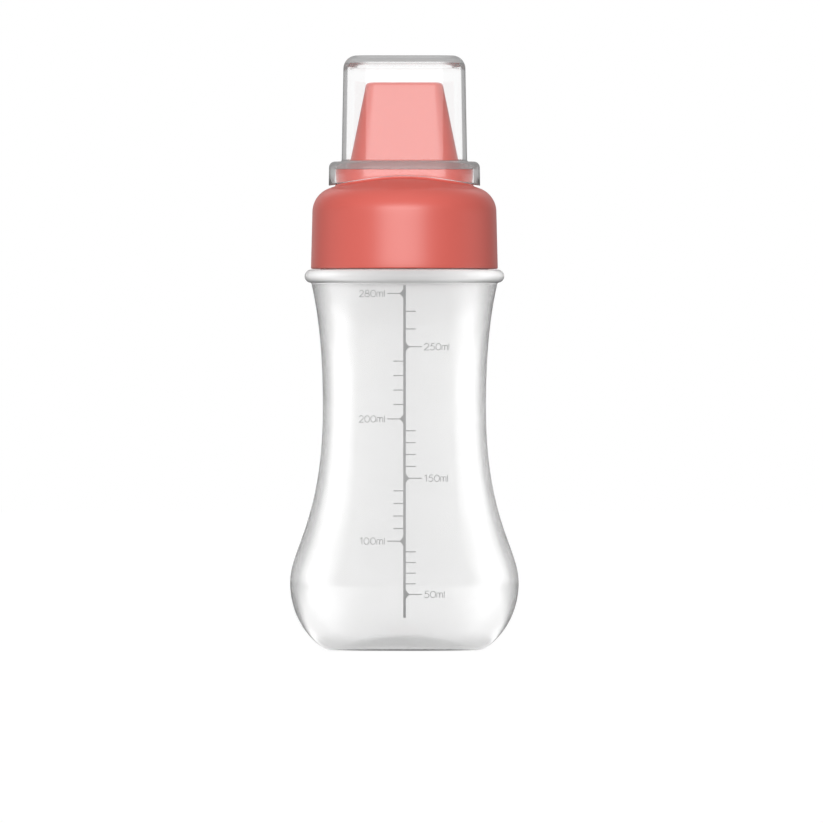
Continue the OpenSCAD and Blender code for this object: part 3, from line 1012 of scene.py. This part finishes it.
def blended(tree, source, low, high):
    """A colour between two, each of them three numbers or another node's colour."""
    node = tree.nodes.new("ShaderNodeMix")
    node.data_type = "RGBA"
    tree.links.new(source, node.inputs["Factor"])
    colours = [s for s in node.inputs if s.type == "RGBA"]
    for socket, colour in zip(colours, (low, high)):
        put(tree, socket, colour if isinstance(colour, bpy.types.NodeSocket) else (*colour, 1))
    return next(s for s in node.outputs if s.type == "RGBA")


def seen_edge_on(tree):
    """0 where a surface is seen straight on, and 1 where it is seen edge on."""
    return tree.nodes.new("ShaderNodeLayerWeight").outputs["Facing"]


def paint_edge_shade(tree, colour, edge, facing, span):
    """Paints a colour grey over a span of facing: painted shade where a thin wall is seen along its
    length.
    """
    share = add(tree, "ShaderNodeMapRange", Value=facing, From_Min=span[0], From_Max=span[1])
    return blended(tree, share.outputs["Result"], colour, grey(edge))


def bumped(tree, source, distance, strength):
    """A normal that follows a source's height."""
    node = add(tree, "ShaderNodeBump", Height=source, Distance=distance, Strength=strength)
    return node.outputs["Normal"]


def show_mix(tree, share, first, second):
    """Shows one shader, and another for a share of it."""
    mix = add(tree, "ShaderNodeMixShader", Fac=share)
    tree.links.new(first.outputs[0], mix.inputs[1])
    tree.links.new(second.outputs[0], mix.inputs[2])
    tree.links.new(mix.outputs["Shader"], tree.nodes["Material Output"].inputs["Surface"])


def let_light_through(tree, shader, tint):
    """Lets light pass a clear shader unbent, so that what is behind it is lit as in the open."""
    path = tree.nodes.new("ShaderNodeLightPath").outputs
    light = calculated(tree, "MAXIMUM", path["Is Shadow Ray"], path["Is Diffuse Ray"])
    clear = add(tree, "ShaderNodeBsdfTransparent", Color=(*grey(tint), 1))
    show_mix(tree, light, shader, clear)


def plastic(name, finish):
    """A material with the finish's faint clouds in its colour and its roughness."""
    material, tree, shader = new_material(name)
    cloud = noise(tree, finish.cloud)
    shade = blended(tree, cloud, *finish.shades)
    # Painted shade: the wall turns grey where it is seen edge on
    if finish.edge_span:
        shade = paint_edge_shade(tree, shade, PAINTED_EDGE_GREY, seen_edge_on(tree), finish.edge_span)
    if finish.bump:
        put(tree, shader.inputs["Normal"], bumped(tree, cloud, *finish.bump))
    rough = ranged(tree, cloud, *finish.rough)
    fill(tree, shader, Base_Color=shade, Roughness=rough, IOR=finish.ior,
         Transmission_Weight=finish.passing)
    if finish.tint:
        let_light_through(tree, shader, finish.tint)
    return material


def coral_material():
    """Satin moulded polypropylene, with clouds in its colour and a fine grain."""
    material, tree, shader = new_material("coral_plastic")
    shade = blended(tree, noise(tree, CORAL.cloud), *CORAL.shades)
    grain = noise(tree, CORAL.grain, CORAL.grain_detail)
    rough = ranged(tree, grain, *CORAL.rough)
    normal = bumped(tree, grain, *CORAL.grain_bump)
    fill(tree, shader, Base_Color=shade, Roughness=rough, Normal=normal, IOR=CORAL.ior,
         Specular_IOR_Level=CORAL.shine)
    return material


def later_on_flat(tree, facing):
    """Facing that lags where a surface looks less to the side, and most on the flat walls, so that
    the painted edge shade comes up by which way the surface faces.
    """
    sideways = calculated(tree, "ABSOLUTE", coordinates(tree, "Normal")["X"])
    lag = add(tree, "ShaderNodeMapRange", Value=sideways, From_Min=0, From_Max=CLEAR.lag_from,
              To_Min=CLEAR.lag, To_Max=0)
    return calculated(tree, "SUBTRACT", facing, lag.outputs["Result"])


def clear_material(name, look):
    """Clear, glossy polystyrene, with a painted grey shade and less clear where its wall is seen
    edge on.
    """
    material, tree, shader = new_material(name)
    cloud = noise(tree, CLEAR.cloud)
    seen = seen_edge_on(tree)
    facing = later_on_flat(tree, seen) if look.is_wall else seen
    shade = paint_edge_shade(tree, grey(1), look.edge, facing, look.span)
    if look.is_wall:
        # Painted dark outline at the wall's silhouette
        shade = paint_edge_shade(tree, shade, CLEAR.line, seen, CLEAR.line_span)
    rough = ranged(tree, cloud, *CLEAR.rough)
    passing = smoothed(tree, facing, look.span, (1, look.passing))
    fill(tree, shader, Base_Color=shade, Roughness=rough, IOR=CLEAR.ior,
         Transmission_Weight=passing)
    let_light_through(tree, shader, CLEAR.tint)
    return material


def background_share(tree, in_gloss):
    """1 for rays that look at the background, a part of it for gloss and 0 for light."""
    path = tree.nodes.new("ShaderNodeLightPath").outputs
    through = calculated(tree, "MAXIMUM", path["Is Camera Ray"], path["Is Transmission Ray"])
    gloss = calculated(tree, "MULTIPLY", path["Is Glossy Ray"], in_gloss)
    return calculated(tree, "MAXIMUM", through, gloss)


def floor_reach(tree):
    """The distance from the middle of the floor."""
    place = add(tree, "ShaderNodeTexCoord").outputs["Object"]
    reach = add(tree, "ShaderNodeVectorMath", Vector=place)
    reach.operation = "LENGTH"
    return reach.outputs["Value"]


def floor_level(tree):
    """How bright the floor looks: even, but in gloss with the painted highlights and shadow that
    FLOOR_GLOSS gives.
    """
    place = coordinates(tree, "Object")
    across = calculated(tree, "ABSOLUTE", place["X"])
    along = calculated(tree, "ABSOLUTE", place["Y"])
    way = calculated(tree, "DIVIDE", place["Y"], calculated(tree, "ADD", across, along))
    far = floor_reach(tree)
    g = FLOOR_GLOSS
    front = smoothed(tree, far, g.near, (g.front, g.front_far))
    beside = smoothed(tree, far, g.side, (g.beside, g.beside_far))
    lag = smoothed(tree, far, g.near, (0, g.far_lag))
    rise = smoothed(tree, calculated(tree, "SUBTRACT", way, lag), g.rise, (front, beside))
    fall = smoothed(tree, way, g.fall, (1, g.behind / g.beside))
    # Painted shadow at the bottle's foot, seen in gloss
    foot = smoothed(tree, far, g.foot, (g.foot_shadow_in_gloss, 1))
    path = tree.nodes.new("ShaderNodeLightPath").outputs
    in_gloss = calculated(tree, "SUBTRACT", path["Is Glossy Ray"], path["Is Transmission Ray"])
    level = calculated(tree, "MULTIPLY", calculated(tree, "MULTIPLY", rise, fall), foot)
    return ranged(tree, in_gloss, 1, level)


def floor_material():
    """White as the background, with the shadow kept, and a plain pale floor for light."""
    material, tree, shader = new_material("pale_floor")
    fill(tree, shader, Base_Color=(*grey(STUDIO.floor_light), 1), Roughness=STUDIO.floor_rough,
         Specular_IOR_Level=0)
    strength = calculated(tree, "MULTIPLY", floor_level(tree), STUDIO.floor_glow)
    glow = add(tree, "ShaderNodeEmission", Color=(*grey(1), 1), Strength=strength)
    thin = add(tree, "ShaderNodeBsdfDiffuse", Color=(*grey(STUDIO.floor_shade), 1))
    both = tree.nodes.new("ShaderNodeAddShader")
    tree.links.new(glow.outputs["Emission"], both.inputs[0])
    tree.links.new(thin.outputs["BSDF"], both.inputs[1])
    show_mix(tree, background_share(tree, 1), shader, both)
    return material


# Placing, stage and light

def dress(piece, body, node):
    """Lets a piece ride on its body in place of a CAD node, which it hides."""
    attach(piece, body)
    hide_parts(node)
    return piece


def build_floor():
    bpy.ops.mesh.primitive_circle_add(
        vertices=STUDIO.floor_points, radius=STUDIO.floor_r, fill_type="NGON",
        location=(0, 0, -STUDIO.floor_drop),
    )
    floor = bpy.context.object
    floor.name = "floor"
    floor.data.materials.append(floor_material())


def build_lamp(lamp, receivers):
    """A rectangular area lamp that lights some pieces and that the camera doesn't see."""
    data = bpy.data.lights.new(lamp.name, "AREA")
    data.shape = "RECTANGLE"
    data.size, data.size_y = lamp.size
    data.energy = lamp.watts
    data.spread = math.radians(lamp.spread)
    light = bpy.data.objects.new(lamp.name, data)
    light.location = lamp.place
    way = Vector((0, 0, lamp.aim)) - Vector(lamp.place)
    light.rotation_euler = way.to_track_quat("-Z", "Y").to_euler()
    light.visible_camera = False
    light.visible_glossy = lamp.shows
    light.visible_transmission = lamp.shows
    bpy.context.scene.collection.objects.link(light)
    group = bpy.data.collections.new(lamp.name + "_receivers")
    for piece in receivers:
        group.objects.link(piece)
    light.light_linking.receiver_collection = group


def build_world():
    world = bpy.data.worlds.new("studio")
    bpy.context.scene.world = world
    world.use_nodes = True
    tree = world.node_tree
    share = background_share(tree, STUDIO.world_gloss)
    strength = ranged(tree, share, STUDIO.world_light, 1)
    fill(tree, tree.nodes["Background"], Color=(*grey(1), 1), Strength=strength)


build_camera()
pieces = {
    "bottle": build_bottle(),
    "cap": build_cap(),
    "ring": build_ring(),
    "cover": build_cover(),
    "scale": build_scale(),
}
build_floor()
build_world()
for lamp in LAMPS:
    build_lamp(lamp, [pieces[name] for name in lamp.lights])

bpy.context.scene.view_settings.view_transform = "Standard"
